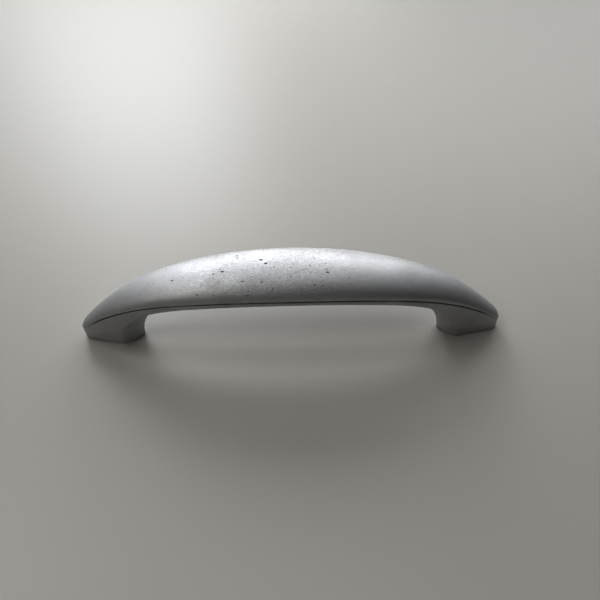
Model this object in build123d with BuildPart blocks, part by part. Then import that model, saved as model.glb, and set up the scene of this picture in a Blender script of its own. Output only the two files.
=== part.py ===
"""Bridge pull handle: a one-piece die-cast bow pull for a drawer or a door.

A wide domed cap bridges two feet. Seen from above, the cap is a slim lens
with rounded tips; seen from the front it is a low arch whose rim drops to the
tips. A fine parting groove runs under the cap's edge, all the way round, and
below it a shoulder carries on into the two feet. Each foot is boat-shaped,
widest around its tapped hole, with a nose that faces the other foot and sweeps
up in a cove into the slightly keeled underside of the grip.

Frame: origin midway between the two feet, on the mounting plane.
+X along the handle, +Z away from the mounting plane, towards the hand.
Millimetres.
"""

import math
import os

from build123d import *

os.makedirs("parts", exist_ok=True)

# ---------------------------------------------------------------- dimensions
LENGTH = 120.0          # over both tips
WIDTH = 18.8            # over the rim at the middle
TIP_R = 2.356           # tip radius in plan, tangent to the two lens arcs
HOLE_SPACING = 96.0     # between the two fixing holes
DOME_RATIO = 0.600      # dome height over the rim / half-width of the rim
GROOVE_DEPTH = 0.42     # parting groove, along the grip
GROOVE_TIP = 0.12       # the same groove where it dies out at the tips
LIP = 0.34              # rounding of the cap's lower lip
SHOULDER_R = 0.55       # rounding of the shoulder below the groove
SHOULDER_INSET = 0.06   # shoulder inside the cap's rim
SEAT = 0.10             # shoulder's top below the cap's underside
DRAFT = 1.8             # casting draft of the flanks, degrees
TIP_LEAN = 1.5          # how far the ends lean in at the tips, degrees
EDGE_R = 0.80           # lower edge of the grip and of the feet's inner faces
BASE_EDGE = 0.22        # edge of the feet at the mounting plane
TAP_R = 1.65            # tapping drill for an M4 thread
THREAD_DEPTH = 9.5      # depth of the tapped hole
MOUTH_CHAMFER = 0.40    # countersink at the hole's mouth

# Height of the parting groove over the mounting plane, along the handle.
RIM = [(0, 22.00), (8, 21.85), (15, 21.45), (22, 20.70), (30, 19.40), (35, 18.25),
       (40, 16.75), (44, 15.08), (48, 13.07), (51, 11.25), (54, 9.15), (56, 7.58),
       (58, 5.90), (59, 5.03), (60, 4.15)]

HALF = LENGTH / 2
HALF_W = WIDTH / 2
TIP_C = HALF - TIP_R                      # centre of the tip's circle
# Radius of the lens arc that is WIDTH wide and tangent to the tip circle.
LENS_R = (TIP_C**2 + HALF_W**2 - TIP_R**2) / (2 * (HALF_W - TIP_R))
LENS_C = LENS_R - HALF_W                  # its centre lies this far across
_d = math.hypot(TIP_C, LENS_C)
TAN_X = TIP_C + TIP_R * TIP_C / _d        # where lens arc and tip circle meet
TAN_Y = TIP_R * LENS_C / _d


def natural_spline(points):
    """Cubic spline y(x) through points, even about x = 0."""
    xs = [-p[0] for p in reversed(points)] + [p[0] for p in points[1:]]
    ys = [p[1] for p in reversed(points)] + [p[1] for p in points[1:]]
    n = len(xs)
    h = [xs[i + 1] - xs[i] for i in range(n - 1)]
    a = [0.0] * n
    l, mu, z = [1.0] + [0.0] * (n - 1), [0.0] * n, [0.0] * n
    for i in range(1, n - 1):
        a[i] = 3 * ((ys[i + 1] - ys[i]) / h[i] - (ys[i] - ys[i - 1]) / h[i - 1])
        l[i] = 2 * (xs[i + 1] - xs[i - 1]) - h[i - 1] * mu[i - 1]
        mu[i] = h[i] / l[i]
        z[i] = (a[i] - h[i - 1] * z[i - 1]) / l[i]
    c = [0.0] * n
    for j in range(n - 2, -1, -1):
        c[j] = z[j] - mu[j] * c[j + 1]

    def at(x):
        x = max(min(x, xs[-1]), xs[0])
        i = max(k for k in range(n - 1) if xs[k] <= x + 1e-12)
        d = x - xs[i]
        b = (ys[i + 1] - ys[i]) / h[i] - h[i] * (c[i + 1] + 2 * c[i]) / 3
        dd = (c[i + 1] - c[i]) / (3 * h[i])
        return ys[i] + b * d + c[i] * d * d + dd * d**3

    return at


rim_z = natural_spline(RIM)


def rim_half_width(x):
    x = abs(x)
    if x <= TAN_X:
        return math.sqrt(LENS_R**2 - x * x) - LENS_C
    return math.sqrt(max(TIP_R**2 - (x - TIP_C) ** 2, 0.0))


def curve(points, parameters):
    """Spline with the same knots in every section, so that the lofts stay light."""
    return Edge.make_spline(points, parameters=parameters)


def arc(centre, a, b, start, end, steps):
    """Part of an ellipse as a spline, from one angle to another, in degrees."""
    t0, t1 = math.radians(start), math.radians(end)

    def slope(t):
        return (-a * math.sin(t) * (t1 - t0), b * math.cos(t) * (t1 - t0))

    points = []
    for i in range(steps + 1):
        t = t0 + (t1 - t0) * i / steps
        points.append((centre[0] + a * math.cos(t), centre[1] + b * math.sin(t)))
    return Edge.make_spline(points, tangents=[slope(t0), slope(t1)],
                            parameters=[i / steps for i in range(steps + 1)], scale=False)


def lines(*points):
    return [Edge.make_line(a, b) for a, b in zip(points, points[1:])]


def section(plane, *edges):
    """Face on a plane whose edges stay apart, so each lofts to its own surface."""
    return plane.from_local_coords(Face(Wire(edges)))


def smooth(t):
    t = max(0.0, min(1.0, t))
    return t * t * (3 - 2 * t)


# ---------------------------------------------------------------- domed cap
# Sections across the handle, closely spaced round the tip. One half of the
# handle is made, lofted past the middle and trimmed there, and mirrored at the
# end, so both ends are the same.
stations = [-24, -16, -8, 0, 8, 16, 24, 31, 37, 42, 46.5, 50.5, 53.8, 56.2, 57.8]
stations += [TIP_C + TIP_R * math.sin(math.radians(a)) for a in (14, 32, 48, 62, 74, 83)]

with BuildPart() as cap:
    sections = []
    for x in stations:
        w = rim_half_width(x)
        zc = rim_z(x)
        fade = smooth((HALF - abs(x)) / 9.0)
        groove = min(GROOVE_TIP + (GROOVE_DEPTH - GROOVE_TIP) * fade, 0.30 * w)
        lip = min(LIP, 0.30 * w)
        rise = DOME_RATIO * w
        skirt = min(1.0, 0.6 * w + 0.2)
        sections.append(section(
            Plane(origin=(x, 0, 0), x_dir=(0, 1, 0), z_dir=(1, 0, 0)),
            arc((0, zc + lip), w, rise - lip, 0, 180, 12),
            arc((-w + groove, zc + lip), groove, lip, 180, 270, 2),
            *lines((-w + groove, zc), (-w + groove, zc - skirt),
                   (w - groove, zc - skirt), (w - groove, zc)),
            arc((w - groove, zc + lip), groove, lip, -90, 0, 2),
        ))
    loft(sections)
    split(bisect_by=Plane.YZ, keep=Keep.TOP)

# ---------------------------------------------------------------- lower body
# Sections down to below the mounting plane. Towards the tips their planes
# lean inwards, so the ends draw in going down like the flanks do.
def lean(x):
    return TIP_LEAN * smooth((x - 46.0) / 12.0)


with BuildPart() as lower:
    sections = []
    for x in stations:
        w = rim_half_width(x)
        zr = rim_z(x)
        phi = math.radians(lean(x))
        r = min(SHOULDER_R, 0.45 * w)
        part_of = min(1.0, w / TIP_R)
        top = zr - SEAT

        def side(z):
            return w - part_of * (SHOULDER_INSET + (zr - z) * math.tan(math.radians(DRAFT)))

        v0 = (zr + 2.0) / math.cos(phi)       # from the rim down to z = -2
        a, b = side(-2.0), side(top - r)
        sections.append(section(
            Plane(origin=(x, 0, zr), x_dir=(0, 1, 0), z_dir=(math.cos(phi), 0, -math.sin(phi))),
            *lines((b, -SEAT - r), (a, -v0), (-a, -v0), (-b, -SEAT - r)),
            arc((-b + r, -SEAT - r), r, r, 180, 90, 2),
            *lines((-b + r, -SEAT), (b - r, -SEAT)),
            arc((b - r, -SEAT - r), r, r, 90, 0, 2),
        ))
    loft(sections)
    split(bisect_by=Plane.YZ, keep=Keep.TOP)
    split(bisect_by=Plane.XY, keep=Keep.TOP)

# ---------------------------------------------------------------- opening
# The finger space as one solid, lofted across the handle through arch-shaped
# sections. Each row is a point of the arch on the centre line, the flank's
# distance from it, and how far the surface has moved into the metal there.
# From the nose of a foot, up the cove and along the keel of the underside.
ARCH = [
    (42.80, -3.0, 3.9, 3.50), (42.74, 0.0, 3.9, 3.50), (42.45, 2.4, 4.1, 3.60),
    (41.97, 4.4, 4.4, 3.80), (41.10, 6.45, 4.7, 3.95), (39.80, 8.5, 5.1, 3.90),
    (38.05, 10.3, 5.6, 3.60), (35.8, 11.85, 6.2, 3.55), (33.0, 13.2, 6.8, 3.35),
    (29.0, 14.65, 7.4, 3.00), (24.0, 16.0, 8.0, 2.60), (18.0, 17.22, 8.6, 2.25),
    (11.0, 18.15, 9.1, 1.95), (4.0, 18.58, 9.3, 1.82), (0.0, 18.64, 9.35, 1.80),
]


def arch_at(y):
    """The arch at distance y from the centre line, as (x, z) for x >= 0."""
    n = len(ARCH)
    out = []
    for i, (x, z, flank, depth) in enumerate(ARCH):
        if i == 0:
            tx, tz = 0.0, 1.0
        elif i == n - 1:
            tx, tz = -1.0, 0.0
        else:
            tx, tz = ARCH[i + 1][0] - ARCH[i - 1][0], ARCH[i + 1][1] - ARCH[i - 1][1]
            l = math.hypot(tx, tz)
            tx, tz = tx / l, tz / l
        nx, nz = tz, -tx                      # into the metal
        # A vee with a rounded ridge at the nose, nearly a parabola at the middle.
        soft = 0.28 + 1.9 * smooth((44.0 - x) / 34.0)
        t = y / flank
        d = depth * (math.hypot(t, soft) - soft) / (math.hypot(1, soft) - soft)
        # Low down the nose rounds over towards the flank.
        over = 1.5 * (1 - smooth(z / 9.0)) * max(0.0, y - 3.05) ** 2
        d += over
        d = d / (1 + (d / 11.0) ** 4) ** 0.25
        out.append((x + nx * d, z + nz * d))
    return out


def chords(points):
    """Parameters of a spline's points, by distance along the chords."""
    out = [0.0]
    for a, b in zip(points, points[1:]):
        out.append(out[-1] + math.dist(a, b))
    return [v / out[-1] for v in out]


with BuildPart() as opening:
    sections = []
    middle = arch_at(0)
    spacing = chords(middle + [(-x, z) for x, z in middle[-2:-5:-1]])
    for y in (-10.8, -8.6, -6.8, -5.4, -4.4, -3.2, -1.5, 0, 1.5, 3.2, 4.4, 5.4, 6.8, 8.6, 10.8):
        right = arch_at(abs(y))
        arch = right + [(-x, z) for x, z in right[-2:-5:-1]]
        sections.append(section(
            Plane.XZ.offset(-y),
            curve(arch, spacing),
            *lines(arch[-1], (arch[-1][0], -3.0), arch[0]),
        ))
    loft(sections)
    split(bisect_by=Plane.YZ, keep=Keep.TOP)


# ---------------------------------------------------------------- handle
with BuildPart() as half:
    add(lower.part)
    add(opening.part, mode=Mode.SUBTRACT)
    # The two long edges where the flanks meet the underside and the nose.
    fillet(half.edges().sort_by(Edge.length)[-6:].filter_by(
        lambda e: abs((e @ 0).Z) < 0.01 or abs((e @ 1).Z) < 0.01), EDGE_R)
    fillet(half.faces().sort_by(Axis.Z)[0].edges(), BASE_EDGE)
    add(cap.part)
    # The foot's blind tapped hole, left at the tapping diameter.
    with Locations((HOLE_SPACING / 2, 0, 0)):
        Cylinder(TAP_R, THREAD_DEPTH, align=(Align.CENTER, Align.CENTER, Align.MIN), mode=Mode.SUBTRACT)
    with BuildSketch(Plane.XZ) as mouth:
        with BuildLine():
            Polyline((HOLE_SPACING / 2, 0), (HOLE_SPACING / 2 + TAP_R + MOUTH_CHAMFER, 0),
                     (HOLE_SPACING / 2 + TAP_R, MOUTH_CHAMFER), (HOLE_SPACING / 2, MOUTH_CHAMFER), close=True)
        make_face()
    revolve(axis=Axis((HOLE_SPACING / 2, 0, 0), (0, 0, 1)), mode=Mode.SUBTRACT)

with BuildPart() as handle:
    add(half.part)
    mirror(about=Plane.YZ)

handle.part.label = "handle"
export_step(handle.part, "parts/handle.step")
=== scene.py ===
"""Bow-shaped pull handle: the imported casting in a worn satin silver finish, on a plain pale floor."""
import math

import bpy
from mathutils import Matrix, Vector


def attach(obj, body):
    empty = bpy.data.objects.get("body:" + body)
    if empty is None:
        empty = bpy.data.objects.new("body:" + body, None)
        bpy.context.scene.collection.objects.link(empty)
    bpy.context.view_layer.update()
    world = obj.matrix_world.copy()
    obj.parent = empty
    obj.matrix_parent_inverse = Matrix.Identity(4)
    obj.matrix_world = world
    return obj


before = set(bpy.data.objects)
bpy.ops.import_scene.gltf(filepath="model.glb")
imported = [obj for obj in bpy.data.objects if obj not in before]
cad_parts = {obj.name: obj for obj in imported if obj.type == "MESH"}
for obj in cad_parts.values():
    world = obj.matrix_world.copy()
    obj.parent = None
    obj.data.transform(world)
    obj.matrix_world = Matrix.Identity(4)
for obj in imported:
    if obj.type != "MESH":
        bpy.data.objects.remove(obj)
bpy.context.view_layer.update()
scene = bpy.context.scene

GROUND = (0.0, 0.0, 0.0)


# Camera: place and axes in the CAD frame, focal length in pixels of a 600 pixel picture.
right = Vector((0.999642, -0.010478, -0.024610)).normalized()
up = Vector((0.024276, 0.741702, 0.670290)).normalized()
back = right.cross(up).normalized()
up = back.cross(right)
camera = bpy.data.objects.new("camera", bpy.data.cameras.new("camera"))
scene.collection.objects.link(camera)
placed = Matrix((right, up, back)).transposed().to_4x4()
placed.translation = Vector((0.005073, -0.115519, 0.140383))
camera.matrix_world = placed
camera.data.sensor_width = 36.0
camera.data.lens = 618.37 / 600 * 36.0
camera.data.clip_start, camera.data.clip_end = 0.01, 20.0
scene.camera = camera

scene.view_settings.view_transform = "Standard"
scene.view_settings.gamma = 0.66


class Nodes:
    """Short forms for building a material's node tree."""

    def __init__(self, material):
        material.use_nodes = True
        self.tree = material.node_tree
        self.shader = self.tree.nodes["Principled BSDF"]

    def put(self, value, socket):
        if isinstance(value, bpy.types.NodeSocket):
            self.tree.links.new(value, socket)
        elif value is not None:
            socket.default_value = value

    def add(self, kind, inputs=(), out=0, **settings):
        made = self.tree.nodes.new(kind)
        for name, value in settings.items():
            setattr(made, name, value)
        for key, value in dict(inputs).items():
            self.put(value, made.inputs[key])
        return made.outputs[out]

    def math(self, operation, a, b=None, c=None, clamp=False):
        made = self.tree.nodes.new("ShaderNodeMath")
        made.operation, made.use_clamp = operation, clamp
        for value, socket in zip((a, b, c), made.inputs):
            self.put(value, socket)
        return made.outputs[0]

    def vector(self, operation, a, b=None):
        made = self.tree.nodes.new("ShaderNodeVectorMath")
        made.operation = operation
        self.put(a, made.inputs[0])
        self.put(b, made.inputs[1])
        return made.outputs[1 if operation in ("DISTANCE", "DOT_PRODUCT", "LENGTH") else 0]

    def span(self, value, low, high, to_low=0.0, to_high=1.0, smooth=True):
        return self.add("ShaderNodeMapRange",
                        {"Value": value, "From Min": low, "From Max": high, "To Min": to_low, "To Max": to_high},
                        interpolation_type="SMOOTHSTEP" if smooth else "LINEAR", clamp=True)

    def noise(self, place, scale, detail=2.0, rough=0.5, stretch=(1, 1, 1), shift=(0, 0, 0), warp=0.0):
        moved = self.vector("ADD", self.vector("MULTIPLY", place, stretch), shift)
        return self.add("ShaderNodeTexNoise", {"Vector": moved, "Scale": scale, "Detail": detail,
                                               "Roughness": rough, "Distortion": warp})

    def mix(self, share, a, b):
        made = self.tree.nodes.new("ShaderNodeMix")
        made.data_type = "RGBA"
        self.put(share, made.inputs[0])
        self.put(a, made.inputs[6])
        self.put(b, made.inputs[7])
        return made.outputs[2]


def satin_silver(name):
    """Satin plated zinc: a fine grain, small pits and hair scratches on the grip's top, smudges, and painted shade
    darkening the parting groove and other creases.
    """
    material = bpy.data.materials.new(name)
    n = Nodes(material)
    place = n.tree.nodes.new("ShaderNodeTexCoord").outputs["Object"]
    mm = n.vector("MULTIPLY", place, (1000.0,) * 3)
    split = n.tree.nodes.new("ShaderNodeSeparateXYZ")
    n.put(mm, split.inputs[0])
    x, y, z = split.outputs
    facing = n.tree.nodes.new("ShaderNodeNewGeometry").outputs["Normal"]
    lift = n.tree.nodes.new("ShaderNodeSeparateXYZ")
    n.put(facing, lift.inputs[0])
    on_top = n.span(lift.outputs[2], 0.45, 0.85)

    # Where hands have worn the grip: along the middle, more to the left, with a ragged edge.
    ragged = n.noise(mm, 0.16, 3.0, 0.55)
    reach = n.math("ABSOLUTE", n.math("ADD", x, 8.0))
    worn = n.span(n.math("ADD", reach, n.math("MULTIPLY", ragged, 26.0)), 46.0, 26.0)
    worn = n.math("MULTIPLY", worn, on_top)

    # Fine grain of the blasted surface, a little longer along the grip.
    grain_fine = n.noise(mm, 3.2, 3.0, 0.6, stretch=(0.6, 1.0, 1.0))
    grain_soft = n.noise(mm, 0.9, 2.0, 0.5, stretch=(0.7, 1.0, 1.0), shift=(7, 3, 1))
    # Casting pits, in loose crowds: one at most in each cell, of any size up to its own limit.
    crowd = n.math("MULTIPLY", worn, n.span(n.noise(mm, 0.11, 2.0, 0.5, shift=(3, 8, 2)), 0.38, 0.62, 0.25, 1.0))
    def pits(scale, share, size, shift):
        moved = n.vector("ADD", n.vector("MULTIPLY", mm, (0.48, 1.0, 1.0)), shift)
        wobble = n.add("ShaderNodeTexNoise", {"Vector": moved, "Scale": 2.4, "Detail": 2.0}, out=1)
        moved = n.vector("ADD", moved, n.vector("MULTIPLY", wobble, (0.35,) * 3))
        cells = n.tree.nodes.new("ShaderNodeTexVoronoi")
        n.put(moved, cells.inputs["Vector"])
        n.put(scale, cells.inputs["Scale"])
        own = n.tree.nodes.new("ShaderNodeSeparateColor")
        n.put(cells.outputs["Color"], own.inputs[0])
        there = n.math("LESS_THAN", own.outputs[0], n.math("MULTIPLY", crowd, share))
        radius = n.math("MULTIPLY", n.math("ADD", n.math("MULTIPLY", own.outputs[1], 0.75), 0.25), size)
        inside = n.span(n.math("DIVIDE", cells.outputs["Distance"], radius), 1.0, 0.35)
        return n.math("MULTIPLY", inside, there)
    big = pits(0.62, 0.60, 0.22, (3.1, 1.7, 0.4))
    small = pits(1.35, 0.70, 0.27, (11.3, 5.2, 2.6))
    pit = n.math("MAXIMUM", big, small)

    # Hair scratches along the grip and a few across it.
    along = n.noise(mm, 1.0, 1.0, 0.5, stretch=(0.16, 4.2, 4.2), shift=(2, 9, 4), warp=0.25)
    line = n.span(n.math("ABSOLUTE", n.math("SUBTRACT", along, 0.5)), 0.012, 0.0)
    patch = n.span(n.noise(mm, 0.22, 2.0, 0.5, shift=(5, 5, 9)), 0.52, 0.62)
    scratch = n.math("MULTIPLY", n.math("MULTIPLY", line, patch), worn)

    # Colour: smudges, faint grain, darker pits, and painted shade darkening the groove and other creases.
    smudge = n.noise(mm, 0.075, 3.0, 0.55, stretch=(1.0, 1.3, 1.0), shift=(1, 4, 8))
    # Painted shade: the colour goes nearly black where ambient occlusion finds a tight crease, such as the parting
    # groove; roughness rises there too.
    sheltered = n.add("ShaderNodeAmbientOcclusion", {"Distance": 0.0013}, out=1, samples=12, only_local=True)
    crease_shade = n.span(sheltered, 0.86, 0.55)
    colour = n.mix(n.span(smudge, 0.3, 0.7), (0.60, 0.604, 0.614, 1), (0.67, 0.674, 0.684, 1))
    colour = n.mix(n.math("MULTIPLY", n.math("SUBTRACT", 1.0, n.span(grain_fine, 0.35, 0.65)), n.math("ADD", n.math("MULTIPLY", worn, 0.24), 0.14)), colour, (0.30, 0.30, 0.31, 1))
    colour = n.mix(n.math("MULTIPLY", scratch, 0.60), colour, (0.22, 0.22, 0.24, 1))
    colour = n.mix(n.math("MULTIPLY", pit, 0.80), colour, (0.13, 0.13, 0.15, 1))
    colour = n.mix(n.math("MULTIPLY", crease_shade, 0.92), colour, (0.035, 0.032, 0.028, 1))
    n.put(colour, n.shader.inputs["Base Color"])

    rough = n.math("ADD", n.span(smudge, 0.3, 0.7, 0.64, 0.58), n.math("MULTIPLY", worn, -0.02))
    rough = n.math("ADD", rough, n.math("MULTIPLY", n.math("SUBTRACT", grain_soft, 0.5), 0.10))
    rough = n.math("ADD", rough, n.math("MULTIPLY", n.math("MAXIMUM", pit, crease_shade), 0.30), clamp=True)
    n.put(rough, n.shader.inputs["Roughness"])
    n.shader.inputs["Metallic"].default_value = 1.0

    height = n.math("MULTIPLY", n.math("SUBTRACT", grain_fine, 0.5), n.math("ADD", n.math("MULTIPLY", worn, 0.026), 0.012))
    height = n.math("ADD", height, n.math("MULTIPLY", n.math("SUBTRACT", grain_soft, 0.5), 0.020))
    height = n.math("SUBTRACT", height, n.math("MULTIPLY", pit, 0.070))
    height = n.math("SUBTRACT", height, n.math("MULTIPLY", scratch, 0.012))
    bump = n.add("ShaderNodeBump", {"Strength": 1.0, "Distance": 0.001, "Height": height})
    n.put(bump, n.shader.inputs["Normal"])
    return material


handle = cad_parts["handle"]
finish = satin_silver("satin_silver")
for held in handle.material_slots:
    held.material = finish


def screw_thread(name, centre_x, low=0.0006, high=0.0086, pitch=0.0007, around=64, per_turn=8):
    """The tapped thread of one screw hole: a closed sleeve against the hole's wall, ridged inside along a helix."""
    wall, root, crest = 0.00166, 0.00163, 0.00150
    rows = int(round((high - low) / pitch * per_turn)) + 1
    points, faces = [], []
    for row in range(rows):
        z = low + (high - low) * row / (rows - 1)
        for step in range(around):
            turn = step / around
            phase = (z / pitch - turn) % 1.0
            ridge = max(0.0, 1.0 - abs(phase - 0.5) / 0.42)
            fade = min(1.0, row / per_turn, (rows - 1 - row) / per_turn)
            radius = root - (root - crest) * min(1.0, ridge * 1.12) * fade
            points.append((centre_x + radius * math.cos(turn * math.tau), radius * math.sin(turn * math.tau), z))
    for z in (low, high):
        points += [(centre_x + wall * math.cos(k / around * math.tau), wall * math.sin(k / around * math.tau), z)
                   for k in range(around)]
    bottom, top = rows * around, (rows + 1) * around
    for k in range(around):
        j = (k + 1) % around
        for row in range(rows - 1):
            a, b = row * around, (row + 1) * around
            faces.append((a + k, b + k, b + j, a + j))
        last = (rows - 1) * around
        faces.append((bottom + k, bottom + j, top + j, top + k))
        faces.append((bottom + j, bottom + k, k, j))
        faces.append((top + k, top + j, last + j, last + k))
    mesh = bpy.data.meshes.new(name)
    mesh.from_pydata(points, [], faces)
    mesh.materials.append(finish)
    for face in mesh.polygons:
        face.use_smooth = True
    piece = bpy.data.objects.new(name, mesh)
    scene.collection.objects.link(piece)
    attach(piece, "root")
    return piece


screw_thread("thread_left", -0.048)
screw_thread("thread_right", 0.048)


# Floor: plain, matt and pale, wide enough for every view.
floor_mesh = bpy.data.meshes.new("floor")
half = 3.0
floor_mesh.from_pydata([(-half, -half, 0), (half, -half, 0), (half, half, 0), (-half, half, 0)], [], [(0, 1, 2, 3)])
floor = bpy.data.objects.new("floor", floor_mesh)
scene.collection.objects.link(floor)
pale = bpy.data.materials.new("pale_floor")
pale.use_nodes = True
pale_shader = pale.node_tree.nodes["Principled BSDF"]
pale_shader.inputs["Base Color"].default_value = (0.44, 0.430, 0.402, 1)
pale_shader.inputs["Roughness"].default_value = 0.42
pale_shader.inputs["Specular IOR Level"].default_value = 0.8
floor_mesh.materials.append(pale)


# Soft studio light, from behind and above.
def softbox(name, azimuth, elevation, size, watts, colour=(1, 1, 1), distance=1.5):
    """A square area light. Azimuth 0 is behind the handle and 90 to its right."""
    data = bpy.data.lights.new(name, "AREA")
    data.shape, data.size, data.size_y = "RECTANGLE", size[0], size[1]
    data.energy, data.color = watts, colour
    lamp = bpy.data.objects.new(name, data)
    scene.collection.objects.link(lamp)
    a, e = math.radians(azimuth), math.radians(elevation)
    lamp.location = Vector((math.sin(a) * math.cos(e), math.cos(a) * math.cos(e), math.sin(e))) * distance
    lamp.rotation_euler = (Vector(GROUND) - lamp.location).to_track_quat("-Z", "Y").to_euler()
    return lamp


# Azimuth, elevation, watts and colour: large soft windows behind, weaker ones overhead and at the left, a little from the front.
SOFTBOXES = [
    (-18, 29, 7.4, (0.97, 0.98, 1.00)), (0, 29, 1.7, (0.97, 0.98, 1.00)), (18, 29, 3.0, (0.97, 0.98, 1.00)),
    (-40, 24, 2.0, (0.97, 0.98, 1.00)), (38, 25, 2.2, (0.97, 0.98, 1.00)), (0, 9, 1.6, (1.00, 0.97, 0.93)),
    (-20, 44, 1.4, (1, 1, 1)), (2, 46, 0.9, (1, 1, 1)), (36, 42, 0.9, (1, 1, 1)),
    (-66, 58, 3.8, (0.96, 0.98, 1.00)), (70, 58, 0.9, (1, 1, 1)), (0, 85, 2.3, (0.98, 0.99, 1.00)),
    (-120, 50, 4.6, (1.00, 0.97, 0.92)), (120, 50, 0.8, (1, 1, 1)), (-160, 30, 0.9, (1, 1, 1)),
]
for place_of, (azimuth, elevation, watts, colour) in enumerate(SOFTBOXES):
    side = 0.38 if elevation < 10 else 0.5
    softbox("softbox_%02d" % place_of, azimuth, elevation, (side, side), watts, colour)

world = bpy.data.worlds.new("world")
scene.world = world
world.use_nodes = True
sky = world.node_tree.nodes["Background"]
sky.inputs["Color"].default_value = (0.93, 0.96, 1.0, 1)
sky.inputs["Strength"].default_value = 0.004
